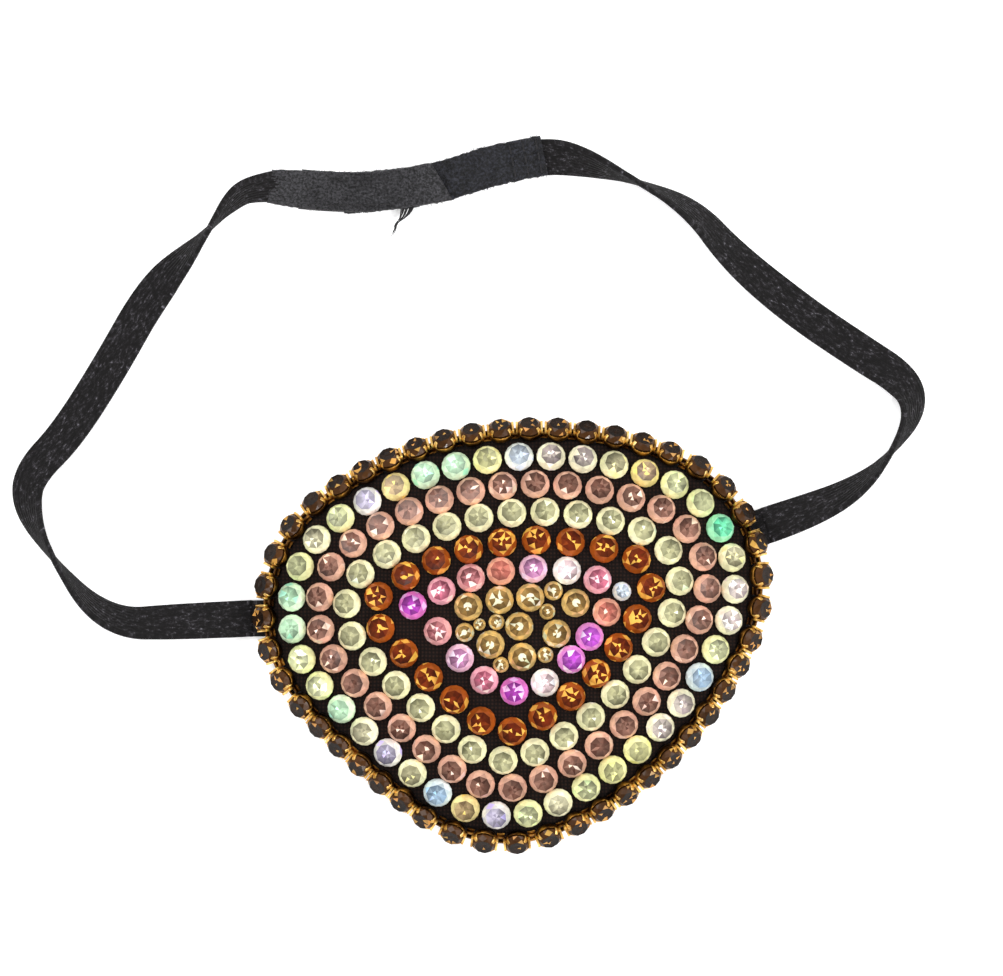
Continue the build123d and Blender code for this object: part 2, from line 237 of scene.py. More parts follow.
def cloth_material(name, dark, light, scale, bump, sheen, mix=(0.43, 0.60)):
    """Matte cloth: fine fibre noise for colour and relief. mix is where the noise turns dark and light."""
    made, nodes, links, shader = new_material(name)
    fuzz = object_texture(
        nodes, links, "ShaderNodeTexNoise", in_Scale=scale, in_Detail=4.0, in_Roughness=0.7
    )
    tint_by(nodes, links, shader, fuzz.outputs["Fac"], [(mix[0], dark), (mix[1], light)])
    emboss(nodes, links, shader, fuzz.outputs["Fac"], bump, 0.2 * MM)
    shader.inputs["Roughness"].default_value = 0.9
    shader.inputs["Sheen Weight"].default_value = sheen
    shader.inputs["Sheen Roughness"].default_value = 0.5
    return made


def weave_material():
    """The patch's dark cover: a fine plain weave."""
    made, nodes, links, shader = new_material("cover_weave")
    crossed = node(nodes, "ShaderNodeMath", operation="MULTIPLY")
    for number, direction in enumerate("XY"):
        threads = object_texture(
            nodes, links, "ShaderNodeTexWave", bands_direction=direction, in_Scale=520.0, in_Distortion=1.2
        )
        links.new(threads.outputs["Fac"], crossed.inputs[number])
    stops = [(0.0, rgb(9, 4, 3)), (0.8, rgb(34, 20, 15))]
    tint_by(nodes, links, shader, crossed.outputs[0], stops)
    emboss(nodes, links, shader, crossed.outputs[0], 0.6, 0.1 * MM)
    shader.inputs["Roughness"].default_value = 0.9
    shader.inputs["Specular IOR Level"].default_value = 0.15
    shader.inputs["Sheen Weight"].default_value = 0.03
    return made


def elastic_material():
    """Black elastic with flecks of worn grey along its ribs."""
    made, nodes, links, shader = new_material("elastic_black")
    place = node(nodes, "ShaderNodeAttribute", attribute_name="weave")
    stretch = node(nodes, "ShaderNodeMapping", in_Scale=(2100.0, 1250.0, 900.0))
    links.new(place.outputs["Vector"], stretch.inputs["Vector"])
    flecks = node(nodes, "ShaderNodeTexNoise", in_Scale=1.0, in_Detail=3.0, in_Roughness=0.75)
    links.new(stretch.outputs[0], flecks.inputs["Vector"])
    stops = [
        (0.35, rgb(4, 3, 3)),
        (0.52, rgb(13, 11, 12)),
        (0.63, rgb(42, 40, 43)),
        (0.76, rgb(112, 110, 117)),
    ]
    tint_by(nodes, links, shader, flecks.outputs["Fac"], stops)
    emboss(nodes, links, shader, flecks.outputs["Fac"], 0.7, 0.15 * MM)
    shader.inputs["Roughness"].default_value = 0.8
    shader.inputs["Sheen Weight"].default_value = 0.05
    shader.inputs["Sheen Roughness"].default_value = 0.4
    shader.inputs["Specular IOR Level"].default_value = 0.2
    return made


def foam_material():
    """Grey open-cell foam."""
    made, nodes, links, shader = new_material("foam_cells")
    cells = object_texture(nodes, links, "ShaderNodeTexVoronoi", in_Scale=1400.0)
    stops = [(0.1, rgb(60, 58, 58)), (0.7, rgb(120, 116, 112))]
    tint_by(nodes, links, shader, cells.outputs["Distance"], stops)
    emboss(nodes, links, shader, cells.outputs["Distance"], 0.6, 0.2 * MM)
    shader.inputs["Roughness"].default_value = 0.95
    return made


def finish_node(name, material):
    """Give a carried-over CAD node its material."""
    data = bpy.data.objects[name].data
    data.materials.clear()
    data.materials.append(material)


# ---- mesh helpers ----------------------------------------------------------------------


def add_piece(name, verts, faces, body, material, smooth=True):
    """A mesh piece. It rides on a body, if one is given."""
    mesh = bpy.data.meshes.new(name)
    mesh.from_pydata([tuple(v) for v in verts], [], faces)
    mesh.validate()
    mesh.materials.append(material)
    mesh.polygons.foreach_set("use_smooth", [smooth] * len(mesh.polygons))
    piece = bpy.data.objects.new(name, mesh)
    bpy.context.collection.objects.link(piece)
    if body:
        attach(piece, body)
    return piece


def tube_faces(start, rows, sides, faces):
    """Faces between rows of equal rings of points, closed at both ends."""
    for row in range(rows - 1):
        low, high = start + row * sides, start + (row + 1) * sides
        for k in range(sides):
            after = (k + 1) % sides
            faces.append((low + k, low + after, high + after, high + k))
    faces.append(tuple(start + k for k in reversed(range(sides))))
    faces.append(tuple(start + (rows - 1) * sides + k for k in range(sides)))


def islands(node_name):
    """The separate solids of a CAD node, as arrays of their points."""
    mesh = bpy.data.objects[node_name].data
    work = bmesh.new()
    work.from_mesh(mesh)
    bmesh.ops.remove_doubles(work, verts=work.verts, dist=WELD)
    seen, found = set(), []
    for first in work.verts:
        if first.index in seen:
            continue
        seen.add(first.index)
        stack, group = [first], []
        while stack:
            vert = stack.pop()
            group.append(vert.co[:])
            for edge in vert.link_edges:
                other = edge.other_vert(vert)
                if other.index not in seen:
                    seen.add(other.index)
                    stack.append(other)
        found.append(np.array(group))
    work.free()
    return found


def seat_of(points):
    """A round solid's foot, the way it faces and its radius."""
    middle = points.mean(axis=0)
    spread, axes = np.linalg.eigh(np.cov((points - middle).T))
    facing = axes[:, 0] * (1 if axes[2, 0] > 0 else -1)
    heights = (points - middle) @ facing
    foot = middle + facing * heights.min()
    radial = (points - foot) - np.outer((points - foot) @ facing, facing)
    return Vector(foot), Vector(facing), float(np.linalg.norm(radial, axis=1).max())


def clockwise(seats, start):
    """Seats in clockwise order round the patch, from the angle start in degrees."""
    return sorted(seats, key=lambda s: (start - math.degrees(math.atan2(s[0].y, s[0].x))) % 360)


def turned(facing, along):
    """Axes for a round piece: facing out, its first axis near along."""
    side = facing.cross(along).normalized()
    first = side.cross(facing).normalized()
    return first, side


# ---- cut stones ------------------------------------------------------------------------

# Heights and radii are shares of the stone's radius.
GIRDLE, CROWN_MID, CROWN_TOP = 0.20, 0.56, 0.84
BASE_RADIUS, MID_RADIUS, TABLE_RADIUS, STAR_RADIUS = 0.97, 0.90, 0.72, 0.30
TABLE_DIP = 0.015

# How much a facet's brightness may vary, as painted reflections of the foil and facets, and how much of
# the rim's colour it takes.
PAINTED_GLINT_RANGE, CROWN_RANGE = (0.85, 1.0), (0.85, 1.15)
STAR_BLEND, STAR_RANGE = (0.6, 1.0), (0.85, 1.1)
TABLE_BLEND, TABLE_RANGE = (0.0, 0.22), (0.5, 1.12)
# The stone's foot and sides are painted darker, as shade.
BASE_SHADE = 0.5
# Painted shading: how much a stone is painted lighter on one side, and how its shade is painted to change
# from its middle to its edge.
TABLE_PAINTED_SIDE_LIGHT, TABLE_PAINTED_EDGE_SHADE = 0.5, 0.28
CROWN_PAINTED_SIDE_LIGHT, CROWN_PAINTED_INNER_SHADE = 0.14, 0.5


def ring(count, radius, height, offset=0.0):
    """Evenly spaced points of a level circle."""
    turns = [math.tau * (k + offset) / count for k in range(count)]
    return [(radius * math.cos(turn), radius * math.sin(turn), height) for turn in turns]


def brilliant(foot=0.0, rise=1.0):
    """Points, faces and the kind of each face of one stone with a round brilliant's crown."""
    verts = ring(16, BASE_RADIUS, foot)
    verts += ring(16, 1.0, foot + GIRDLE * rise)
    verts += ring(8, MID_RADIUS, foot + CROWN_MID * rise, 0.5)
    verts += ring(8, TABLE_RADIUS, foot + CROWN_TOP * rise)
    verts += ring(8, STAR_RADIUS, foot + (CROWN_TOP - TABLE_DIP) * rise, 0.5)
    verts.append((0, 0, foot + (CROWN_TOP - 0.3 * TABLE_DIP) * rise))
    base, girdle, mid, table, star, tip = 0, 16, 32, 40, 48, 56
    faces, kinds = [tuple(reversed(range(16)))], ["base"]
    for k in range(16):
        after = (k + 1) % 16
        faces.append((base + k, base + after, girdle + after, girdle + k))
        kinds.append("girdle")
    for k in range(8):
        after, before = (k + 1) % 8, (k - 1) % 8
        near, middle, far = girdle + 2 * k, girdle + 2 * k + 1, girdle + (2 * k + 2) % 16
        faces += [(near, middle, mid + k), (middle, far, mid + k)]
        kinds += ["break", "break"]
        faces.append((near, mid + k, table + k, mid + before))
        kinds.append("main")
        faces.append((mid + k, table + after, table + k))
        kinds.append("star")
        faces += [(table + k, table + after, star + k), (table + k, star + k, star + before)]
        kinds += ["table", "table"]
        faces.append((star + k, star + after, tip))
        kinds.append("heart")
    return verts, faces, kinds


def facet_colour(kind, rim, table, painted_glint, facet_glint_odds, heart_glint_odds, dice):
    """One facet's colour: a bright crown round a darker table, partly the glass's own colour and partly
    painted light and shade, with painted shade on the stone's foot and sides.
    The two odds are how often a facet and a heart facet get a painted glint instead."""
    if kind in ("base", "girdle"):
        return [c * BASE_SHADE for c in rim]
    if dice.random() < (heart_glint_odds if kind == "heart" else facet_glint_odds):
        return [c * dice.uniform(*PAINTED_GLINT_RANGE) for c in painted_glint]
    if kind in ("break", "main"):
        shade = dice.uniform(*CROWN_RANGE)
        return [min(1.0, c * shade) for c in rim]
    if kind == "star":
        blend, shade = dice.uniform(*STAR_BLEND), dice.uniform(*STAR_RANGE)
        return [(r * blend + t * (1 - blend)) * shade for r, t in zip(rim, table)]
    blend, shade = dice.uniform(*TABLE_BLEND), dice.uniform(*TABLE_RANGE)
    return [min(1.0, (r * blend + t * (1 - blend)) * shade) for r, t in zip(rim, table)]


def painted_corner_shade(corner, kind, lit_side):
    """Painted shading: each stone is painted lighter on one side, and under the table it is painted darker
    towards the table's edge and lighter in its middle; the crown is painted darker towards the table.
    """
    reach = math.hypot(corner[0], corner[1])
    across = corner[0] * lit_side[0] + corner[1] * lit_side[1]
    if kind in ("table", "heart"):
        return 1 + TABLE_PAINTED_SIDE_LIGHT * across + TABLE_PAINTED_EDGE_SHADE * (1 - 2 * reach / TABLE_RADIUS)
    if kind in ("break", "main", "star"):
        return 1 + CROWN_PAINTED_SIDE_LIGHT * across + CROWN_PAINTED_INNER_SHADE * (min(reach, MID_RADIUS) - MID_RADIUS)
    return 1.0


def stones(name, seats, tints, material, glint_odds, foot=0.0, rise=1.0, shrink=1.0):
    """All the stones of one node. tints gives (rim, table, glint) colours for each seat, the glint being a
    painted highlight, and the odds are how often facets get it; foot and rise set a stone's height over
    its seat, and shrink its width, as shares of its own."""
    dice = random.Random(name)
    unit, unit_faces, kinds = brilliant(foot, rise)
    verts, faces, colours = [], [], []
    for (origin, facing, radius), (rim, table, painted_glint) in zip(seats, tints):
        spin = dice.uniform(0, math.tau)
        first, side = turned(facing, Vector((math.cos(spin), math.sin(spin), 0)))
        size = radius * shrink
        start = len(verts)
        verts += [
            origin + first * (x * size) + side * (y * size) + facing * (z * radius)
            for x, y, z in unit
        ]
        faces += [tuple(start + index for index in face) for face in unit_faces]
        # A random side of each stone is painted lighter, as painted light.
        lean = dice.uniform(0, math.tau)
        lit_side = (math.cos(lean), math.sin(lean))
        for face, kind in zip(unit_faces, kinds):
            colour = facet_colour(kind, rim, table, painted_glint, *glint_odds, dice)
            for corner in face:
                shade = painted_corner_shade(unit[corner], kind, lit_side)
                colours.append([min(1.0, c * shade) for c in colour] + [1.0])
    piece = add_piece(name, verts, faces, PATCH, material, smooth=False)
    layer = piece.data.color_attributes.new("facet", "FLOAT_COLOR", "CORNER")
    layer.data.foreach_set("color", [value for colour in colours for value in colour])
    return piece


# Rim, table and painted glint colour of each kind of stone; rim and table are partly the stone's own
# colour and partly painted light and shade.
TINTS = {
    "mint": (rgb(214, 240, 204), rgb(150, 186, 152), rgb(180, 250, 210)),
    "green": (rgb(160, 234, 186), rgb(92, 192, 146), rgb(120, 250, 190)),
    "cream": (rgb(244, 242, 200), rgb(158, 152, 124), rgb(255, 250, 210)),
    "lemon": (rgb(242, 240, 172), rgb(152, 150, 106), rgb(255, 248, 160)),
    "lime": (rgb(238, 240, 178), rgb(144, 146, 112), rgb(230, 250, 175)),
    "olive": (rgb(240, 238, 190), rgb(130, 124, 96), rgb(250, 238, 165)),
    "golden": (rgb(238, 220, 142), rgb(142, 116, 98), rgb(255, 226, 130)),
    "tan": (rgb(234, 216, 148), rgb(132, 108, 80), rgb(255, 220, 120)),
    "ice": (rgb(232, 238, 230), rgb(158, 168, 180), rgb(220, 235, 255)),
    "steel": (rgb(212, 228, 230), rgb(126, 150, 172), rgb(180, 220, 250)),
    "lavender": (rgb(230, 228, 222), rgb(144, 136, 160), rgb(206, 198, 255)),
    "mauve": (rgb(240, 236, 202), rgb(140, 126, 126), rgb(255, 242, 224)),
    "peach": (rgb(218, 170, 148), rgb(94, 60, 49), rgb(246, 210, 190)),
    "jonquil": (rgb(242, 240, 194), rgb(150, 147, 110), rgb(255, 255, 220)),
    "amber": (rgb(158, 78, 26), rgb(92, 30, 10), rgb(240, 176, 76)),
    "magenta": (rgb(224, 120, 200), rgb(146, 46, 152), rgb(255, 196, 250)),
    "violet": (rgb(230, 146, 216), rgb(168, 66, 182), rgb(255, 222, 255)),
    "pink": (rgb(234, 168, 180), rgb(182, 94, 116), rgb(255, 216, 222)),
    "dusty": (rgb(226, 162, 162), rgb(150, 86, 90), rgb(255, 210, 204)),
    "salmon": (rgb(234, 168, 142), rgb(176, 96, 84), rgb(255, 212, 192)),
    "lilac": (rgb(230, 186, 206), rgb(166, 106, 148), rgb(255, 218, 245)),
    "white": (rgb(248, 240, 230), rgb(216, 186, 190), rgb(255, 255, 255)),
    "gold": (rgb(232, 198, 126), rgb(142, 106, 54), rgb(255, 248, 208)),
    "smoke": (rgb(64, 38, 15), rgb(24, 13, 5), rgb(186, 136, 68)),
}

# The iridescent stones' casts, clockwise from the top left of each row.
CRYSTAL_CASTS = """
    mint lemon ice mauve mauve olive golden lime lime green olive mauve mauve lime steel mauve mauve
    lemon lemon lime cream lime lavender tan steel olive lavender cream mint lime lime mint mint lime
    cream lime lavender tan mint
""".split()
ROSE_CASTS = """
    magenta pink dusty salmon lilac white pink salmon violet violet white magenta pink lilac dusty
""".split()
FULL_ROWS = ("crystal_row", "peach_row", "jonquil_row", "amber_row")
FULL_SPREAD, SPREAD = 1.045, 1.02
# Degrees round the patch at which a row's casts begin.
ROW_START = {"crystal_row": 112.0, "rose_row": 170.0}
CHAIN_START = 180.0


def make_flat_backs():
    """The rings of flat-back stones, the small accent stone and the gold middle."""
    glass = stone_material("foiled_glass", 0.1, 0.22, 0.12, 0.12)
    gold_glass = stone_material("golden_glass", 0.4, 0.25, 0.2)
    # The pair after each material: how often a facet and a heart facet get a painted glint.
    rows = [
        ("crystal_row", CRYSTAL_CASTS, "crystal_stone", glass, (0.06, 0.10)),
        ("peach_row", ["peach"], "peach_stone", glass, (0.03, 0.08)),
        ("jonquil_row", ["jonquil"], "jonquil_stone", glass, (0.03, 0.05)),
        ("amber_row", ["amber"], "amber_stone", glass, (0.20, 0.30)),
        ("rose_row", ROSE_CASTS, "rose_stone", glass, (0.12, 0.30)),
        ("accent_stone", ["ice"], "crystal_stone", glass, (0.2, 0.3)),
        ("gold_centre_large", ["gold"], "gold_stone", gold_glass, (0.10, 0.75)),
        ("gold_centre_small", ["gold"], "gold_stone", gold_glass, (0.15, 0.75)),
    ]
    for name, casts, slot, material, glint_odds in rows:
        seats = clockwise([seat_of(points) for points in islands(name)], ROW_START.get(name, CHAIN_START))
        tints = [TINTS[casts[number % len(casts)]] for number in range(len(seats))]
        spread = FULL_SPREAD if name in FULL_ROWS else SPREAD
        piece = stones(f"{name}_cut", seats, tints, material, glint_odds, shrink=spread)
        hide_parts(name)


# ---- the edge cup chain ----------------------------------------------------------------

# Radius and height in mm.
CUP_PROFILE = [
    (0.0, 0.02), (1.60, 0.02), (1.88, 0.16), (2.08, 0.50), (2.20, 1.05), (2.22, 1.30), (2.16, 1.36),
    (2.10, 1.28), (2.04, 1.00), (1.96, 0.45), (1.60, 0.32), (0.0, 0.32),
]
CUP_SIDES = 20
CLAW_ANGLES = (38, 142, 218, 322)
CLAW_LINE = [(2.06, 0.55), (2.17, 1.15), (2.15, 1.70), (2.00, 2.02), (1.74, 2.26), (1.46, 2.40)]
CLAW_WIDTHS = [0.34, 0.34, 0.32, 0.30, 0.26, 0.16]
CLAW_THICK = 0.22
CLAW_ROUNDING, LINK_ROUNDING = 0.07 * MM, 0.06 * MM
# Lengths, widths and levels over the cup's foot, in mm.
BAR_PLACE, BAR_SIZE, BAR_LEVELS = 2.04, (0.38, 2.2), (1.10, 2.0)
LINK_PLATE, LINK_PLATE_LEVELS = (1.3, 2.5), (0.30, 0.55)
LINK_BAR, LINK_BAR_LEVELS, LINK_LANES = (1.24, 0.4), (0.62, 0.92), (-0.55, 0.55)
CHATON_FOOT, CHATON_RISE, CHATON_SPREAD = 0.50, 0.85, 1.13


def lathe(profile, sides, origin, first, side, facing, verts, faces):
    """A closed turned shape, from a profile that starts and ends on its axis."""
    start = len(verts)
    verts.append(origin + facing * (profile[0][1] * MM))
    for radius, height in profile[1:-1]:
        for k in range(sides):
            turn = math.tau * k / sides
            out = first * math.cos(turn) + side * math.sin(turn)
            verts.append(origin + out * (radius * MM) + facing * (height * MM))
    verts.append(origin + facing * (profile[-1][1] * MM))
    last, rows = len(verts) - 1, len(profile) - 2
    for k in range(sides):
        after = (k + 1) % sides
        faces.append((start, start + 1 + after, start + 1 + k))
        for row in range(rows - 1):
            low, high = start + 1 + row * sides, start + 1 + (row + 1) * sides
            faces.append((low + k, low + after, high + after, high + k))
        top = start + 1 + (rows - 1) * sides
        faces.append((top + k, top + after, last))


def claw(origin, out, side, facing, verts, faces):
    """One claw: a flat tapering finger that climbs the cup and bends over the stone."""
    start = len(verts)
    count = len(CLAW_LINE)
    for number, ((radius, height), half) in enumerate(zip(CLAW_LINE, CLAW_WIDTHS)):
        before, after = CLAW_LINE[max(number - 1, 0)], CLAW_LINE[min(number + 1, count - 1)]
        run = Vector((after[0] - before[0], after[1] - before[1])).normalized()
        inward = out * -run.y + facing * run.x
        middle = origin + out * (radius * MM) + facing * (height * MM)
        thick = inward * (CLAW_THICK * MM)
        for share, depth in ((-1, 0), (1, 0), (1, 1), (-1, 1)):
            verts.append(middle + side * (share * half * MM) + thick * depth)
    tube_faces(start, count, 4, faces)


def round_edges(piece, width):
    """Bevel a piece's sharp edges for good, so that they catch the light."""
    bevel = piece.modifiers.new("edges", "BEVEL")
    bevel.width = width
    bevel.segments = 2
    bevel.limit_method = "ANGLE"
    bevel.angle_limit = math.radians(40)
    apply_modifiers(piece)


def apply_modifiers(piece):
    """Replace a piece's mesh by what its modifiers make of it."""
    bpy.context.view_layer.update()
    ready = piece.evaluated_get(bpy.context.evaluated_depsgraph_get())
    mesh = bpy.data.meshes.new_from_object(ready)
    piece.modifiers.clear()
    piece.data = mesh


def displace(piece, amount):
    """Move a piece's points along their normals by an amount that depends on the place."""
    mesh = piece.data
    mesh.update()
    count = len(mesh.vertices)
    places, normals = np.empty(count * 3), np.empty(count * 3)
    mesh.vertices.foreach_get("co", places)
    mesh.vertex_normals.foreach_get("vector", normals)
    places, normals = places.reshape(-1, 3), normals.reshape(-1, 3)
    amounts = np.array([amount(Vector(place)) for place in places])
    mesh.vertices.foreach_set("co", (places + normals * amounts[:, None]).ravel())
    mesh.update()


def make_cup_chain():
    """The chain round the edge: cups, claws, bars, links and the smoky stones in them."""
    gold = gold_material("chain_gold", rgb(146, 104, 46), rgb(220, 172, 90), rgb(248, 214, 138))
    aged = gold_material("aged_cups", rgb(44, 24, 9), rgb(90, 58, 22), rgb(176, 126, 56))
    cups = clockwise([seat_of(points) for points in islands("edge_chain_cups")], CHAIN_START)
    verts, faces = [], []
    claw_verts, claw_faces = [], []
    link_verts, link_faces = [], []
    for number, (origin, facing, _) in enumerate(cups):
        before, after = cups[number - 1], cups[(number + 1) % len(cups)]
        first, side = turned(facing, after[0] - before[0])
        lathe(CUP_PROFILE, CUP_SIDES, origin, first, side, facing, verts, faces)
        for angle in CLAW_ANGLES:
            turn = math.radians(angle)
            out = first * math.cos(turn) + side * math.sin(turn)
            claw(origin, out, facing.cross(out), facing, claw_verts, claw_faces)
        for end in (-1, 1):
            middle = origin + first * (end * BAR_PLACE * MM)
            box(middle, (first, side, facing), BAR_SIZE, BAR_LEVELS, claw_verts, claw_faces)
        link(cups[number], after, link_verts, link_faces)
    cup_piece = add_piece("cup_chain_cups", verts, faces, PATCH, aged)
    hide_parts("edge_chain_cups")
    claws = add_piece("cup_chain_claws", claw_verts, claw_faces, PATCH, gold)
    round_edges(claws, CLAW_ROUNDING)
    links = add_piece("cup_chain_links", link_verts, link_faces, PATCH, aged)
    round_edges(links, LINK_ROUNDING)
    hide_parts("edge_chain_links")
    smoke = stone_material("smoked_glass", 0.0, 0.25, 0.02, 0.14)
    chatons = clockwise([seat_of(points) for points in islands("edge_chain_stones")], CHAIN_START)
    piece = stones(
        "edge_chain_stones_cut",
        chatons,
        [TINTS["smoke"]] * len(chatons),
        smoke,
        # How often the smoky stones' facets get a painted glint.
        (0.08, 0.08),
        foot=CHATON_FOOT,
        rise=CHATON_RISE,
        shrink=CHATON_SPREAD,
    )
    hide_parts("edge_chain_stones")


def box(middle, axes, sizes, levels, verts, faces):
    """A plain bar: its length and width along the first two axes, its levels up the third."""
    along, side, out = axes
    start = len(verts)
    for level in levels:
        for x, y in SQUARE:
            corner = along * (x * sizes[0] * MM / 2) + side * (y * sizes[1] * MM / 2)
            verts.append(middle + corner + out * (level * MM))
    for quad in ((3, 2, 1, 0), (4, 5, 6, 7), (0, 1, 5, 4), (1, 2, 6, 5), (2, 3, 7, 6), (3, 0, 4, 7)):
        faces.append(tuple(start + corner for corner in quad))


def link(cup, after, verts, faces):
    """The plate and the two flat bars that join one cup to the next, low between them."""
    (origin, facing, _), (next_origin, next_facing, _) = cup, after
    out = (facing + next_facing).normalized()
    along = (next_origin - origin).normalized()
    side = out.cross(along).normalized()
    middle = (origin + next_origin) / 2
    box(middle, (along, side, out), LINK_PLATE, LINK_PLATE_LEVELS, verts, faces)
    for lane in LINK_LANES:
        box(middle + side * (lane * MM), (along, side, out), LINK_BAR, LINK_BAR_LEVELS, verts, faces)


# ---- soft layers of the patch ----------------------------------------------------------


VOXEL = 0.3 * MM
COVER_RIPPLE, COVER_RIPPLE_SCALE = 0.05 * MM, 600.0
FELT_RIPPLE, FELT_RIPPLE_SCALE = 0.08 * MM, 900.0


def remeshed(node_name, name, ripple, scale):
    """A CAD node's shape as an even mesh, its skin moved a little along its normals."""
    source = bpy.data.objects[node_name]
    piece = bpy.data.objects.new(name, source.data.copy())
    bpy.context.collection.objects.link(piece)
    piece.data.materials.clear()
    weld = piece.modifiers.new("weld", "WELD")
    weld.merge_threshold = WELD
    voxels = piece.modifiers.new("voxels", "REMESH")
    voxels.mode = "VOXEL"
    voxels.voxel_size = VOXEL
    voxels.use_smooth_shade = True
    soften = piece.modifiers.new("soften", "SMOOTH")
    soften.iterations = 3
    apply_modifiers(piece)
    displace(piece, lambda spot: ripple * noise.noise(spot * scale))
    return piece


def make_soft_layers():
    """The patch's cover and felt, and the foam's edge between them."""
    cover = remeshed("fabric_cover", "cover_cloth", COVER_RIPPLE, COVER_RIPPLE_SCALE)
    cover.data.materials.append(weave_material())
    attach(cover, PATCH)
    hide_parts("fabric_cover")
    felt = remeshed("felt_lining", "felt_layer", FELT_RIPPLE, FELT_RIPPLE_SCALE)
    matted = cloth_material("felt_black", rgb(10, 9, 9), rgb(44, 41, 42), 2200.0, 0.9, 0.15)
    felt.data.materials.append(matted)
    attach(felt, PATCH)
    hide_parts("felt_lining")
    finish_node("foam_core", foam_material())


# ---- the strap -------------------------------------------------------------------------

# The routes of part.py in metres. The fourth number is the ribbon's roll in degrees: 0 lies flat
# and 90 stands on an edge.
LEFT_ROUTE = [
    (-0.0429, 0.0028, 0.00075, 0),
    (-0.0540, 0.0023, 0.00075, 12),
    (-0.0670, 0.0018, 0.00075, 44),
    (-0.0770, 0.0140, 0.00075, 96),
    (-0.0803, 0.0220, 0.00075, 140),
    (-0.0793, 0.0270, 0.00075, 158),
    (-0.0735, 0.0330, 0.00075, 172),
    (-0.0665, 0.0440, 0.00075, 180),
    (-0.0595, 0.0565, 0.00075, 172),
    (-0.0515, 0.0650, 0.00075, 104),
    (-0.0460, 0.0721, 0.00140, 62),
    (-0.0424, 0.0738, 0.00200, 46),
    (-0.0385, 0.0740, 0.00235, 30),
]
RIGHT_ROUTE = [
    (0.0418, 0.0181, 0.00075, 0),
    (0.0505, 0.0210, 0.00075, -28),
    (0.0580, 0.0252, 0.00075, -62),
    (0.0629, 0.0306, 0.00075, -94),
    (0.0663, 0.0366, 0.00075, -122),
    (0.0649, 0.0419, 0.00075, -160),
    (0.0570, 0.0469, 0.00075, -180),
    (0.0468, 0.0538, 0.00075, -180),
    (0.0366, 0.0622, 0.00075, -150),
    (0.0296, 0.0706, 0.00075, -124),
    (0.0188, 0.0756, 0.00075, -84),
    (0.0106, 0.0785, 0.00075, -36),
    (0.0048, 0.0791, 0.00075, 0),
    (-0.0006, 0.0780, 0.00075, 0),
]
LOOP_TAPE_ROUTE = [
    (0.0052, 0.0792, 0.00175),
    (-0.0028, 0.0776, 0.00175),
    (-0.0074, 0.0762, 0.00050),
    (-0.0120, 0.0747, 0.00050),
    (-0.0195, 0.0734, 0.00050),
    (-0.0280, 0.0729, 0.00050),
]
TAB_ROUTE = [
    (-0.0400, 0.0740, 0.00235, 34),
    (-0.0280, 0.0729, 0.00235, 0),
    (-0.0195, 0.0734, 0.00235, 0),
    (-0.0116, 0.0748, 0.00235, 0),
]
HOOK_ROUTE = [
    (-0.0350, 0.0736, 0.00140),
    (-0.0280, 0.0729, 0.00140),
    (-0.0195, 0.0734, 0.00140),
    (-0.0116, 0.0748, 0.00140),
]
THREAD_ROUTE = [
    (-0.0184, 0.0699, 0.00140),
    (-0.0186, 0.0688, 0.00120),
    (-0.0192, 0.0679, 0.00070),
    (-0.0195, 0.0667, 0.00040),
    (-0.0201, 0.0658, 0.00020),
]

# Where each elastic starts and ends its bend between the patch and the strap.
LEFT_BEND = ((-0.0435, 0.0028, 0.00075), (-0.0556, 0.0098, 0.00075))
RIGHT_BEND = ((0.0435, 0.0187, 0.00075), (0.0519, 0.0287, 0.00075))
# The tails start a little inside the elastics, on the patch's side of the bend.
LEFT_TAIL_ROUTE = [
    (-0.0433, 0.0028, 0.00075),
    (-0.0357, 0.0028, 0.00075),
    (-0.0280, 0.0028, 0.00075),
]
RIGHT_TAIL_ROUTE = [
    (0.0433, 0.01863, 0.00075),
    (0.0361, 0.01600, 0.00075),
    (0.0289, 0.01340, 0.00075),
]

ELASTIC_WIDTH, ELASTIC_THICKNESS = 6.06 * MM, 1.06 * MM
# Width, thickness, number of ribs, their depth and the points across each band.
ELASTIC_BAND = (ELASTIC_WIDTH, ELASTIC_THICKNESS, 9, 0.09 * MM, 54)
TAIL_BAND = (6.0 * MM, 1.0 * MM, 9, 0.08 * MM, 54)
LOOP_BAND = (6.7 * MM, 0.9 * MM, 12, 0.05 * MM, 48)
TAB_BAND = (6.5 * MM, 1.0 * MM, 11, 0.07 * MM, 55)
HOOK_BAND = (6.6 * MM, 0.8 * MM, 12, 0.06 * MM, 48)
WEAVE_WIDTH = 6.0 * MM
# A band's rounded edge: its share of half the thickness, and its points in degrees.
EDGE_ROUND, EDGE_ANGLES = 0.9, (35, 65, 90, 115, 145)
# How much a band thins at its edges, and over which share of its half width.
RIM_DROP, RIM_REACH = 0.10, 0.10

STEP = 0.25 * MM
SPLINE_RESOLUTION = 48
ROLL_STEPS, ROLL_SMOOTHING, ROLL_ENDS = 400, 41, 0.05


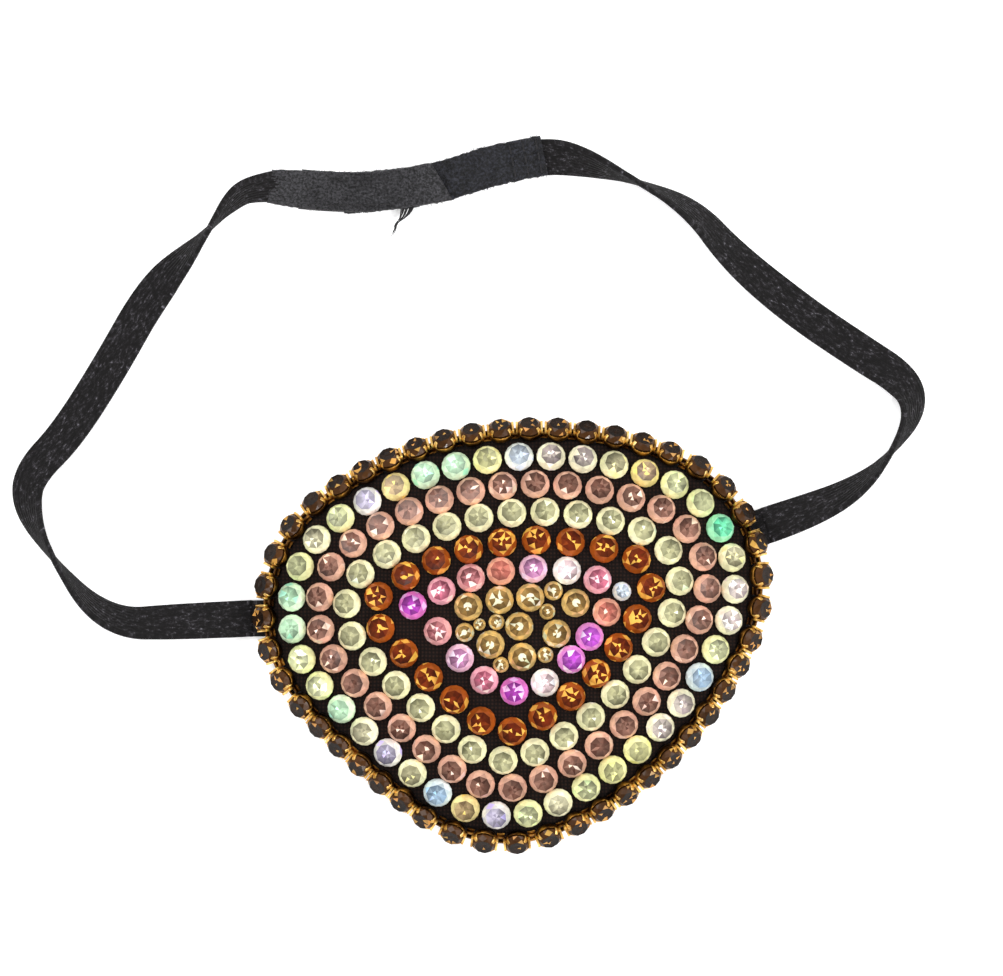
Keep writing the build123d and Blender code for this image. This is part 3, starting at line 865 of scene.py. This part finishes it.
def spline_points(route):
    """Evenly spaced points of the route's smooth spline, and each one's share of the way along it."""
    curve = bpy.data.curves.new("route", "CURVE")
    curve.dimensions = "3D"
    spline = curve.splines.new("NURBS")
    spline.points.add(len(route) - 1)
    for point, place in zip(spline.points, route):
        point.co = (*place[:3], 1)
    spline.order_u = 3
    spline.use_endpoint_u = True
    spline.resolution_u = SPLINE_RESOLUTION
    holder = bpy.data.objects.new("route", curve)
    bpy.context.collection.objects.link(holder)
    bpy.context.view_layer.update()
    mesh = bpy.data.meshes.new_from_object(holder)
    points = np.array([v.co[:] for v in mesh.vertices])
    bpy.data.objects.remove(holder)
    keep = [0]
    for number in range(1, len(points)):
        if np.linalg.norm(points[number] - points[keep[-1]]) >= STEP:
            keep.append(number)
    if keep[-1] != len(points) - 1:
        keep[-1] = len(points) - 1
    shares = np.array(keep) / (len(points) - 1)
    return points[keep], shares


def by_point(values, shares):
    """Values given at a route's points, carried smoothly to shares of its spline."""
    count = len(values)
    places = np.array([0.0] + [k - 0.5 for k in range(1, count - 1)] + [count - 2.0]) / (count - 2.0)
    dense = np.linspace(0, 1, ROLL_STEPS)
    coarse = np.interp(dense, places, values)
    kernel = np.hanning(ROLL_SMOOTHING)
    kernel /= kernel.sum()
    extended = np.pad(coarse, ROLL_SMOOTHING // 2, mode="edge")
    smooth = np.convolve(extended, kernel, mode="valid")
    ease = np.clip(np.minimum(dense, 1 - dense) / ROLL_ENDS, 0, 1)
    smooth = smooth * ease + coarse * (1 - ease)
    return np.interp(shares, dense, smooth)


def frames_along(points):
    """At each point of a line: the way it runs, the level way across it, and the way up."""
    runs = np.gradient(points, axis=0)
    runs /= np.linalg.norm(runs, axis=1)[:, None]
    side = np.cross(np.tile([0.0, 0.0, 1.0], (len(points), 1)), runs)
    side /= np.linalg.norm(side, axis=1)[:, None]
    return runs, side, np.cross(runs, side)


def ribbon_section(width, thickness, ribs, rib_depth, across_steps):
    """A flat band's closed outline: ribbed faces and rounded edges, as (across, up, share) points."""
    half, thick = width / 2, thickness / 2
    edge = thick * EDGE_ROUND
    top = []
    for k in range(across_steps + 1):
        share = k / across_steps
        x = -half + edge + share * (2 * half - 2 * edge)
        swell = rib_depth * (0.5 - 0.5 * math.cos(math.tau * ribs * share))
        rim = RIM_DROP * thick * math.exp(-((1 - abs(2 * share - 1)) / RIM_REACH) ** 2)
        top.append((x, thick - rib_depth + swell - rim, share))
    right = [
        (half - edge + edge * math.sin(turn), edge * math.cos(turn), 1.0)
        for turn in map(math.radians, EDGE_ANGLES)
    ]
    bottom = [(-x, -z, 1 - share) for x, z, share in top]
    left = [(-x, -z, 0.0) for x, z, _ in right]
    return top + right + bottom + left


def ribbon(name, points, rolls, band, body, material):
    """A band swept along points with its own roll at each, closed at both ends."""
    section = ribbon_section(*band)
    runs, side, rise = frames_along(points)
    if rolls is None:
        rolls = np.zeros(len(points))
    cos_roll, sin_roll = np.cos(rolls)[:, None], np.sin(rolls)[:, None]
    across = side * cos_roll + rise * sin_roll
    out = rise * cos_roll - side * sin_roll
    verts, faces, weave = [], [], []
    travelled = np.concatenate([[0], np.cumsum(np.linalg.norm(np.diff(points, axis=0), axis=1))])
    for place, a, o, s in zip(points, across, out, travelled):
        for x, z, share in section:
            verts.append(tuple(place + a * x + o * z))
            weave.append((share * WEAVE_WIDTH, s, z))
    tube_faces(0, len(points), len(section), faces)
    piece = add_piece(name, verts, faces, body, material)
    layer = piece.data.attributes.new("weave", "FLOAT_VECTOR", "POINT")
    layer.data.foreach_set("vector", [c for place in weave for c in place])
    return piece


def strap_line(route):
    """Points and rolls of an elastic, lifted so that its lower edge stays on the table."""
    points, shares = spline_points(route)
    rolls = np.radians(by_point([place[3] for place in route], shares))
    reach = np.abs(np.sin(rolls)) * ELASTIC_WIDTH / 2 + np.abs(np.cos(rolls)) * ELASTIC_THICKNESS / 2
    lift = reach - ELASTIC_THICKNESS / 2
    points[:, 2] += lift
    return points, rolls


def make_elastics(black):
    """The two elastics, swept along their routes."""
    made = []
    for name, route, node_name, (start, end) in [
        ("left_strap", LEFT_ROUTE, "left_elastic", LEFT_BEND),
        ("right_strap", RIGHT_ROUTE, "right_elastic", RIGHT_BEND),
    ]:
        points, rolls = strap_line(route)
        piece = ribbon(name, points, rolls, ELASTIC_BAND, None, black)
        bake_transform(piece)
        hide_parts(node_name)
        made.append((piece, points))
    return made


def make_tails(black):
    """The sewn ends of the elastics, flat in their pockets under the patch."""
    for name, route, node_name in [
        ("left_tail_band", LEFT_TAIL_ROUTE, "left_strap_tail"),
        ("right_tail_band", RIGHT_TAIL_ROUTE, "right_strap_tail"),
    ]:
        points, _ = spline_points(route)
        piece = ribbon(name, points, None, TAIL_BAND, PATCH, black)
        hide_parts(node_name)


# ---- the closure -----------------------------------------------------------------------

SHEAR_REACH = 5.0 * MM
# Slope of the slanted end and height of its corner.
TAB_SHEAR, HOOK_SHEAR = (-0.38, 0.35 * MM), (-0.36, 0.2 * MM)
# Depth and scale of the rough skin, and its finer part.
LOOP_ROUGHNESS, TAB_ROUGHNESS = (0.2 * MM, 1300.0), (0.13 * MM, 1400.0)
FINE_SHARE, FINE_SCALE = 0.5, 2.3
# Half width, height, number, length, thickness, lean and seed of a band's fibres.
LOOP_NAP = (3.45 * MM, 0.35 * MM, 2200, 0.7 * MM, 0.04 * MM, 0.6, 7)
TAB_NAP = (3.3 * MM, 0.42 * MM, 1500, 0.6 * MM, 0.032 * MM, 0.7, 11)
TAB_NAP_ROWS = slice(20, -8)
FIBRE_ROWS, FIBRE_SIDES = 4, 3
FIBRE_LENGTHS, FIBRE_TAPER = (0.5, 1.2), 0.6
FIBRE_BEND, FIBRE_RISE, FIBRE_CURL = 0.6, 0.5, 0.75
# The frayed thread: its root, strands, seed, spacing, spread, girth and flatness.
TUFT_ROOT = (-0.0183, 0.0712, 0.0015)
TUFT_STRANDS, TUFT_SEED, TUFT_SIDES = 11, 5, 5
TUFT_SPACING, TUFT_SPREAD, TUFT_GIRTH, TUFT_FLATNESS = 0.22, 0.22 * MM, 0.13 * MM, 0.25
TUFT_LENGTHS = (0.5, 0.98)
# The strands lie side by side over this share of the thread, then part.
TUFT_BOUND, TUFT_START_SPREAD, TUFT_TAPER = 0.6, 0.35, 0.5


def shear_end(piece, points, slant, bump):
    """Cut a band's far end on the slant, with a small bump at its upper corner."""
    runs, side, _ = frames_along(points)
    tip, run, across = Vector(points[-1]), Vector(runs[-1]), Vector(side[-1])
    for vert in piece.data.vertices:
        offset = vert.co - tip
        along, sideways = offset.dot(run), offset.dot(across)
        if along > -SHEAR_REACH:
            share = 1 + along / SHEAR_REACH
            vert.co += run * (slant * sideways * share)
            if sideways > 0:
                vert.co += across * (bump * share * math.sin(math.pi * min(1, share)))


def roughen(piece, amount, scale):
    """Push a piece's skin in and out a little, for nap and pile."""
    displace(
        piece,
        lambda spot: amount
        * (noise.noise(spot * scale) + FINE_SHARE * noise.noise(spot * scale * FINE_SCALE)),
    )


def fibres(name, points, nap, body, material):
    """Short curled fibres standing on a band."""
    half_width, top, count, length, thickness, lean, seed = nap
    dice = random.Random(seed)
    runs, side, rise = frames_along(points)
    verts, faces = [], []
    for _ in range(count):
        spot = dice.randrange(1, len(points) - 1)
        a, r, u = Vector(side[spot]), Vector(runs[spot]), Vector(rise[spot])
        root = Vector(points[spot]) + a * dice.uniform(-half_width, half_width) + u * top
        aim = dice.uniform(0, math.tau)
        flat = (a * math.cos(aim) + r * math.sin(aim)).normalized()
        size = length * dice.uniform(*FIBRE_LENGTHS)
        start = len(verts)
        for row in range(FIBRE_ROWS):
            share = row / (FIBRE_ROWS - 1)
            bend = lean * size * math.sin(share * math.pi * FIBRE_BEND)
            middle = root + flat * bend + u * (size * FIBRE_RISE * math.sin(share * math.pi * FIBRE_CURL))
            girth = thickness * (1 - FIBRE_TAPER * share)
            for k in range(FIBRE_SIDES):
                turn = math.tau * k / FIBRE_SIDES
                verts.append(middle + (a * math.cos(turn) + r * math.sin(turn)) * girth)
        tube_faces(start, FIBRE_ROWS, FIBRE_SIDES, faces)
    return add_piece(name, verts, faces, body, material)


def make_closure():
    """Hook tab over loop tape, with its stitches, pile and loose thread."""
    nap = cloth_material("tab_nap", rgb(2, 2, 3), rgb(62, 61, 65), 2700.0, 1.0, 0.04, (0.42, 0.64))
    pile = cloth_material("loop_pile", rgb(1, 1, 2), rgb(46, 47, 56), 2500.0, 1.0, 0.04, (0.44, 0.66))
    hooks = cloth_material("hook_base", rgb(10, 10, 11), rgb(34, 34, 37), 2400.0, 0.8, 0.1)
    thread = cloth_material("black_thread", rgb(9, 8, 9), rgb(40, 38, 41), 5200.0, 0.8, 0.1)

    loop_points, _ = spline_points(LOOP_TAPE_ROUTE)
    loop = ribbon("loop_band", loop_points, None, LOOP_BAND, STRAP, pile)
    roughen(loop, *LOOP_ROUGHNESS)
    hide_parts("loop_tape")
    loop_fibres = fibres("loop_fibres", loop_points, LOOP_NAP, STRAP, pile)

    tab_points, tab_rolls = strap_line(TAB_ROUTE)
    tab = ribbon("hook_tab_band", tab_points, tab_rolls, TAB_BAND, None, nap)
    shear_end(tab, tab_points, *TAB_SHEAR)
    roughen(tab, *TAB_ROUGHNESS)
    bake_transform(tab)
    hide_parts("hook_tab_elastic")
    tab_fibres = fibres("tab_fibres", tab_points[TAB_NAP_ROWS], TAB_NAP, TAB, nap)

    hook_points, _ = spline_points(HOOK_ROUTE)
    hook = ribbon("hook_band", hook_points, None, HOOK_BAND, TAB, hooks)
    shear_end(hook, hook_points, *HOOK_SHEAR)
    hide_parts("hook_tape")
    for name in ("loop_tape_stitches", "hook_tape_stitches"):
        finish_node(name, thread)
    tuft = make_tuft(thread)
    return [loop, loop_fibres, "loop_tape_stitches"], [tab, tab_fibres, hook, "hook_tape_stitches", tuft]


def make_tuft(thread):
    """The frayed end of a stitching thread: a few strands that part towards the tip."""
    line, shares = spline_points([TUFT_ROOT] + THREAD_ROUTE)
    dice = random.Random(TUFT_SEED)
    verts, faces = [], []
    for strand in range(TUFT_STRANDS):
        drift = Vector((dice.uniform(-1, 1), dice.uniform(-0.4, 0.4), dice.uniform(0, 0.5))) * TUFT_SPREAD
        root = TUFT_SPACING * strand * MM
        reach = 1.0 if strand == 0 else dice.uniform(*TUFT_LENGTHS)
        used = [(Vector(p), share) for p, share in zip(line, shares) if share <= reach]
        start = len(verts)
        for point, share in used:
            beside = Vector((root * max(0.0, 1 - share / TUFT_BOUND), 0, 0))
            middle = point + drift * (TUFT_START_SPREAD + share) + beside
            girth = TUFT_GIRTH * (1 - TUFT_TAPER * share / reach)
            for k in range(TUFT_SIDES):
                turn = math.tau * k / TUFT_SIDES
                around = Vector((math.cos(turn), TUFT_FLATNESS * math.sin(turn), math.sin(turn)))
                verts.append(middle + around * girth)
        tube_faces(start, len(used), TUFT_SIDES, faces)
    piece = add_piece("loose_tuft", verts, faces, TAB, thread)
    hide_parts("loose_thread")
    return piece


# ---- the whole ---------------------------------------------------------------------------

make_camera()
elastic_black = elastic_material()
(left_strap, left_points), (right_strap, right_points) = make_elastics(elastic_black)
loop_pieces, tab_pieces = make_closure()
tail_thread = cloth_material("tail_thread", rgb(16, 15, 17), rgb(76, 74, 80), 5200.0, 0.8, 0.4)
make_tails(elastic_black)
for tail_name in ("left_tail_stitches", "right_tail_stitches"):
    finish_node(tail_name, tail_thread)
make_soft_layers()
make_flat_backs()
make_cup_chain()
make_floor()
make_lights()
